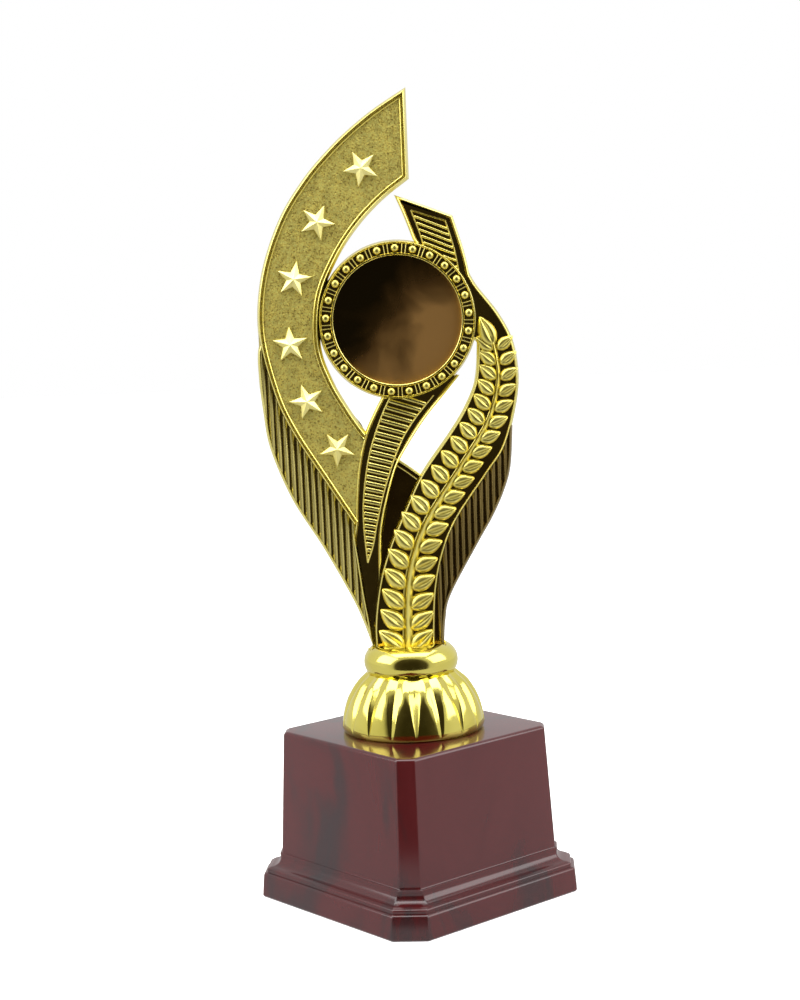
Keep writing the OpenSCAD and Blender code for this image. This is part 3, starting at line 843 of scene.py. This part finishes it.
def ribbon_upper():
    bm = bmesh.new()
    under_ring = arc(*RING_CENTRE, RING_R - 1.5, 28, 72, 6)
    shape = outline(
        (curve(UPPER_RIGHT), 1), (under_ring, 0), (curve(UPPER_LEFT), 1)
    )
    relief(bm, shape, RIBBON_RIM)
    low, high = BED_Y + 0.5, BED_Y - 0.35
    field_left = curve([[11.9, 255], [9.7, 262.5], [6.8, 270.8]])
    field_right = curve([[20, 266.2], [22.9, 256], [24.6, 246]])
    rail(bm, field_left, 0.8, low, high)
    rail(bm, field_right, 0.8, low, high)
    rail(bm, [[6.8, 270.8], [13.4, 268.4], [20, 266.2]], 0.9, low, high)
    rungs(bm, field_left, field_right, 248.2, 267.5, 2.5, lambda z: -22, low, high, 1.15)
    thing = make_object("ribbon_above_medallion", bm)
    finish_piece(thing, LIT_RELIEF_GOLD, "figure", "gold_plastic", "ribbon_upper")
    # the sunk field of the ribbon is painted in shade
    recess_finish_and_shade(thing, SHADED_GOLD, LIT_RELIEF_GOLD, BED_Y + 0.4)


def ribbon_lower():
    bm = bmesh.new()
    shape = outline(
        (curve(LOWER_LEFT), 1), (LOWER_TAIL, 0), (curve(LOWER_RIGHT), 1),
        (arc(*RING_CENTRE, RING_R - 1.5, -50, -100, 6), 0),
    )
    relief(bm, shape, RIBBON_RIM)
    left, right = curve(LADDER_LEFT), curve(LADDER_RIGHT)
    low, high = BED_Y + 0.5, BED_Y - 0.45
    rail(bm, left, 0.8, low, high)
    rail(bm, right, 0.8, low, high)
    rungs(bm, left, right, 136.6, 199, 2.35, lambda z: -10 - 8 * (z - 137) / 60, low, high + 0.1, 1.75)
    thing = make_object("ribbon_below_medallion", bm)
    finish_piece(thing, LIT_RELIEF_GOLD, "figure", "gold_plastic", "ribbon_lower")
    # the sunk field of the ribbon is painted in shade
    recess_finish_and_shade(thing, SHADED_GOLD, LIT_RELIEF_GOLD, BED_Y + 0.4)


def web_panel():
    bm = bmesh.new()
    shape = outline((WEB, 1))
    relief(bm, shape, [(0, CORE_Y - 0.3), (0.3, CORE_Y - 1.0), (0.8, CORE_Y - 1.1)])
    rail(bm, curve([[-2.9, 174.6], [2, 171.1], [6.6, 167.5]]), 1.1, CORE_Y - 1.0, CORE_Y - 2.2)
    rail(bm, curve([[-3.3, 172.5], [1, 169.5], [5.2, 166.2]]), 0.8, CORE_Y - 1.0, CORE_Y - 1.9)
    thing = make_object("web_plate", bm)
    finish_piece(thing, DARK_GOLD_AND_SHADE, "figure", "dark_gold_plastic", "web_panel")
    recess_finish_and_shade(thing, DARK_GOLD_AND_SHADE, LIT_RELIEF_GOLD, CORE_Y - 1.1)


def bead_ring():
    bm = bmesh.new()
    channel = RING_Y + 1.0
    foot = RING_Y + INSERT_DEPTH
    face_r = RING_R - 0.75
    profile = [
        (INSERT_R, foot), (INSERT_R, RING_Y + 0.2), (INSERT_R + 0.2, RING_Y), (INSERT_R + 0.7, RING_Y),
        (INSERT_R + 0.9, RING_Y + 0.25), (INSERT_R + 0.95, channel), (face_r - 0.75, channel),
        (face_r - 0.7, RING_Y + 0.35), (face_r - 0.5, RING_Y + 0.1), (face_r - 0.25, RING_Y + 0.1),
        (face_r, RING_Y + 0.4), (RING_R, CORE_Y - 0.6), (RING_R, CORE_Y), (INSERT_R, CORE_Y),
    ]
    lathe(bm, profile, about_ring, 200, closed=True)
    angles = [math.radians(90 - 360 / BEADS * i) for i in range(BEADS)]
    for a in angles:
        for side in (-1, 1):
            b = a + math.radians(180 / BEADS + side * 1.5)
            ends = [
                (RING_CENTRE[0] + r * math.cos(b), RING_CENTRE[1] + r * math.sin(b))
                for r in (INSERT_R + 0.85, face_r - 0.6)
            ]
            bar(bm, *ends, 0.65, channel + 0.05, RING_Y + 0.25, 0.12)
    thing = make_object("beaded_ring", bm)
    finish_piece(thing, LIT_RELIEF_GOLD, "figure", "gold_plastic", "bead_ring")
    # the floor of the channel is painted in shade
    recess_finish_and_shade(thing, SHADED_GOLD, LIT_RELIEF_GOLD, channel)
    bm = bmesh.new()
    for a in angles:
        bead(bm, about_ring(BEAD_CIRCLE_R, channel, a), BEAD_R, 0.9)
    finish_piece(make_object("ring_beads", bm), LIT_LEAF_GOLD, "figure", "gold_plastic", "bead_ring")


def medallion():
    bm = bmesh.new()
    foot = RING_Y + INSERT_DEPTH
    edge = INSERT_R + 0.4
    profile = [
        (0.4, foot + 0.05), (8, foot + 0.03), (16, foot), (INSERT_R - 0.6, foot), (edge, foot + 0.1),
        (edge, CORE_Y),
    ]
    lathe(bm, profile, about_ring, 120)
    # the recess floor carries a painted reflection
    finish_piece(make_object("medallion_mirror", bm), PAINTED_REFLECTION_MIRROR, "figure", "dark_gold_plastic", "medallion_tray")


# ---------- riser ----------

BASE_TOP = 66.6
DOME_TOP = 89.5
PETALS = 18

# The dome's profile as [height, radius]
DOME_PROFILE = [
    [0, 27.3], [0.7, 27.9], [2, 28.3], [4, 28.2], [8.6, 27.2], [12.8, 25.7], [15.6, 24.2], [19.1, 21.8],
    [22, 18.6], [22.9, 17.6],
]

COLLAR_R = 11.7
COLLAR_TUBE_R = 7.0
# The slot for the foot of the figure: the x of its middle, and its size
SLOT_X = -0.55
SLOT_SIZE = (29.1, 11.2, 14)


def riser_dome():
    """Petals between dart-shaped flutes that are wide under the collar and run out above the foot."""
    bm = bmesh.new()
    profile = curve(DOME_PROFILE, 4)
    flute_steps, petal_steps = 10, 12
    pitch = 2 * math.pi / PETALS
    rings = []
    for h, r in profile:
        # 0 where the flutes run out, 1 where they are widest
        u = np.clip((h - 1.3) / 17.5, 0, 1)
        wide = 0.02 + 0.29 * u ** 0.9
        deep = 1.1 * math.sin(math.pi / 2 * u) ** 0.8 * (1 - 0.45 * max((h - 17) / 6, 0))
        across = np.concatenate([
            np.linspace(-wide, wide, flute_steps + 1)[:-1],
            np.linspace(wide, 1 - wide, petal_steps + 1)[:-1],
        ])
        ring = []
        for n in range(PETALS):
            for phase in across:
                inside = abs(phase) < wide + 1e-6
                cut = deep * (1 - abs(phase) / wide) ** 0.8 if inside else 0
                crown = 0 if inside else 0.35 * u * math.sin(math.pi * (phase - wide) / (1 - 2 * wide))
                a = (n + phase) * pitch - math.pi / 2 + math.radians(2)
                q = r - cut + crown
                ring.append(bm.verts.new((q * math.cos(a), q * math.sin(a), BASE_TOP + h)))
        rings.append(ring)
    count = len(rings[0])
    for lower, upper in zip(rings, rings[1:]):
        for k in range(count):
            j = (k + 1) % count
            bm.faces.new((lower[k], lower[j], upper[j], upper[k]))
    bm.faces.new(rings[0][::-1])
    bm.faces.new(rings[-1])
    finish_piece(make_object("gadrooned_dome", bm, 35), GOLD, "figure", "gold_plastic", "riser_dome")


def collar():
    """A round ring, flat underneath, with a slot through it for the foot of the figure."""
    bm = bmesh.new()
    profile = arc(COLLAR_R, DOME_TOP + 4.5, COLLAR_TUBE_R, -40, 180, 56)
    profile += [(5.0, DOME_TOP + 2.3), (6.3, DOME_TOP), (17.0, DOME_TOP)]
    lathe(bm, profile, about_z, 160, closed=True)
    thing = make_object("collar_torus", bm)
    slot = bmesh.new()
    bmesh.ops.create_cube(slot, size=1, matrix=(
        Matrix.Translation((SLOT_X, 0, DOME_TOP + 6)) @ Matrix.Diagonal((*SLOT_SIZE, 1))
    ))
    cutter = make_object("slot_cutter", slot)
    cut = thing.modifiers.new("slot", "BOOLEAN")
    cut.object = cutter
    cut.solver = "EXACT"
    thing.data = bpy.data.meshes.new_from_object(thing.evaluated_get(bpy.context.evaluated_depsgraph_get()))
    thing.modifiers.clear()
    bpy.data.objects.remove(cutter)
    finish_piece(thing, GOLD, "figure", "gold_plastic", "collar_ring")


# ---------- base ----------

BASE_TURN = math.radians(41)


def rounded_octagon(half, leg, radius=1.3, steps=5):
    """A square with chamfered corners whose eight edges are rounded, as points from +X round."""
    s = half - leg
    corners = [(half, -s), (half, s), (s, half), (-s, half), (-half, s), (-half, -s), (-s, -half), (s, -half)]
    found = []
    for i, corner in enumerate(corners):
        here = np.array(corner, float)
        before, after = np.array(corners[i - 1], float), np.array(corners[(i + 1) % 8], float)
        a, b = before - here, after - here
        a, b = a / np.hypot(*a), b / np.hypot(*b)
        cut = radius * math.tan(math.radians(22.5))
        start, end = here + a * cut, here + b * cut
        for t in np.linspace(0, 1, steps + 1):
            found.append((1 - t) ** 2 * start + 2 * t * (1 - t) * here + t * t * end)
    return found


def base():
    bm = bmesh.new()
    top = BASE_TOP
    # half width, chamfer leg and height, from the floor up: plinth, lip, cove, bead and block
    loops = [
        (48.9, 9.5, 0.0), (49.4, 9.7, 0.6), (48.8, 9.45, 8.6), (48.65, 9.4, 9.2), (48.3, 9.25, 9.6),
        (47.8, 9.1, 9.78), (47.5, 9.0, 9.85),
    ]
    loops += [(x, 8.9, z) for x, z in arc(46.7, 10.9, 0.8, -10, 80, 7)]
    loops += [(x, 8.7 - 0.55 * (z - 12), z) for x, z in arc(47.0, 16.6, 4.6, 262, 180, 12)]
    loops += [
        (42.3, 5.95, 17.1), (42.05, 5.9, 17.28), (41.7, 5.8, 17.35), (41.52, 5.6, 17.6), (41.45, 5.5, 18.4),
    ]
    loops += [(x, 4.9, z) for x, z in arc(37.75, top - 1.5, 1.5, 2, 90, 7)]
    turn = Matrix.Rotation(BASE_TURN, 4, "Z")
    rings = [
        [bm.verts.new(turn @ Vector((x, y, z))) for x, y in rounded_octagon(half, leg)]
        for half, leg, z in [(44.8, 8.6, 2.9), (44.8, 8.6, 0.1), (45.2, 8.7, 0.0)] + loops
    ]
    n = len(rings[0])
    for lower, upper in zip(rings, rings[1:]):
        for k in range(n):
            j = (k + 1) % n
            bm.faces.new((lower[k], lower[j], upper[j], upper[k]))
    bm.faces.new(rings[0][::-1])
    bm.faces.new(rings[-1])
    finish_piece(make_object("marbled_base", bm, 40), MARBLE, "base", "marbled_base", "base_shell")


star_band()
stars()
left_wing()
right_wing()
laurel_bed()
laurel_spray()
ribbon_upper()
ribbon_lower()
web_panel()
bead_ring()
medallion()
riser_dome()
collar()
base()

rounding = nodes["back_cover"].modifiers.new("rounded_edges", "BEVEL")
rounding.width = 0.6 * MM
rounding.segments = 3
rounding.limit_method = "ANGLE"

for name, material in (
    ("base_weight", STONE), ("bottom_cover", BLACK), ("cover_screws", STEEL), ("felt_pad", FELT),
    ("tie_rod", STEEL), ("foot_nut", STEEL), ("rod_washer", STEEL), ("rod_nut", STEEL),
    ("figure_core", GOLD), ("back_cover", GOLD), ("back_screws", STEEL),
):
    dress(nodes[name], material)


# ---------- stage ----------

# Where the sheet that mirrors see ends, in metres along Y
TABLE_END = -0.22


def floor():
    bm = bmesh.new()
    half, below = 4000.0, 0.05
    around = ((-half, -half), (half, -half), (half, half), (-half, half))
    corners = [bm.verts.new((x, y, -below)) for x, y in around]
    bm.faces.new(corners)
    thing = make_object("floor", bm)
    material, tree, shader = new_material("pale_floor")
    shader.inputs["Base Color"].default_value = (0.9, 0.9, 0.9, 1)
    shader.inputs["Roughness"].default_value = 0.7
    shader.inputs["Emission Color"].default_value = (1, 1, 1, 1)
    shader.inputs["Emission Strength"].default_value = 0.6
    # mirrors see an even sheet, which ends a little way in front of the trophy
    place = tree.nodes.new("ShaderNodeTexCoord")
    axes = tree.nodes.new("ShaderNodeSeparateXYZ")
    ends = tree.nodes.new("ShaderNodeMath")
    ends.operation = "LESS_THAN"
    ends.inputs[1].default_value = TABLE_END
    sheet = tree.nodes.new("ShaderNodeEmission")
    sheet.inputs["Color"].default_value = (0.72, 0.72, 0.72, 1)
    clear = tree.nodes.new("ShaderNodeBsdfTransparent")
    mirrored = tree.nodes.new("ShaderNodeMixShader")
    path = tree.nodes.new("ShaderNodeLightPath")
    mix = tree.nodes.new("ShaderNodeMixShader")
    tree.links.new(place.outputs["Object"], axes.inputs["Vector"])
    tree.links.new(axes.outputs["Y"], ends.inputs[0])
    tree.links.new(ends.outputs["Value"], mirrored.inputs["Fac"])
    tree.links.new(sheet.outputs["Emission"], mirrored.inputs[1])
    tree.links.new(clear.outputs["BSDF"], mirrored.inputs[2])
    tree.links.new(path.outputs["Is Glossy Ray"], mix.inputs["Fac"])
    tree.links.new(shader.outputs["BSDF"], mix.inputs[1])
    tree.links.new(mirrored.outputs["Shader"], mix.inputs[2])
    tree.links.new(mix.outputs["Shader"], tree.nodes["Material Output"].inputs["Surface"])
    dress(thing, material)


def softbox(name, at, target, size, power):
    data = bpy.data.lights.new(name, "AREA")
    data.shape = "RECTANGLE"
    data.size, data.size_y = size
    data.energy = power
    lamp = bpy.data.objects.new(name, data)
    bpy.context.scene.collection.objects.link(lamp)
    lamp.location = at
    lamp.rotation_euler = (Vector(target) - Vector(at)).to_track_quat("-Z", "Y").to_euler()


def surroundings():
    """A white studio that is dark in the direction that the figure faces."""
    world = bpy.data.worlds.new("studio")
    bpy.context.scene.world = world
    world.use_nodes = True
    tree = world.node_tree
    background = tree.nodes["Background"]
    coordinates = tree.nodes.new("ShaderNodeTexCoord")
    squeeze = tree.nodes.new("ShaderNodeVectorMath")
    squeeze.operation = "MULTIPLY"
    squeeze.inputs[1].default_value = (1, 1, 0.7)
    upright = tree.nodes.new("ShaderNodeVectorMath")
    upright.operation = "NORMALIZE"
    toward = tree.nodes.new("ShaderNodeVectorMath")
    toward.operation = "DOT_PRODUCT"
    toward.inputs[1].default_value = (0, -1, 0)
    tree.links.new(coordinates.outputs["Generated"], squeeze.inputs[0])
    tree.links.new(squeeze.outputs["Vector"], upright.inputs[0])
    tree.links.new(upright.outputs["Vector"], toward.inputs[0])
    shades = ramp(tree, toward.outputs["Value"], [
        (0.0, (0.8, 0.8, 0.8)), (0.45, (0.74, 0.74, 0.74)), (0.69, (0.64, 0.64, 0.62)),
        (0.77, (0.07, 0.06, 0.045)), (0.96, (0.03, 0.025, 0.016)),
    ])
    path = tree.nodes.new("ShaderNodeLightPath")
    mix = tree.nodes.new("ShaderNodeMix")
    mix.data_type = "RGBA"
    tree.links.new(path.outputs["Is Camera Ray"], mix.inputs["Factor"])
    tree.links.new(shades.outputs["Color"], mix.inputs["A"])
    mix.inputs["B"].default_value = (1.0, 1.0, 1.0, 1)
    tree.links.new(mix.outputs["Result"], background.inputs["Color"])
    background.inputs["Strength"].default_value = 1.0


floor()
surroundings()
# places and sizes of the lights in metres, power in watts
softbox("left_softbox", at=(-1.0, -0.3, 0.8), target=(0, 0, 0.15), size=(1.0, 0.9), power=8)
softbox("right_softbox", at=(1.0, -0.25, 0.7), target=(0, 0, 0.15), size=(0.9, 0.8), power=6)
softbox("top_softbox", at=(0, 0.05, 1.2), target=(0, 0, 0.1), size=(1.3, 1.0), power=15)
bpy.context.scene.view_settings.view_transform = "Standard"
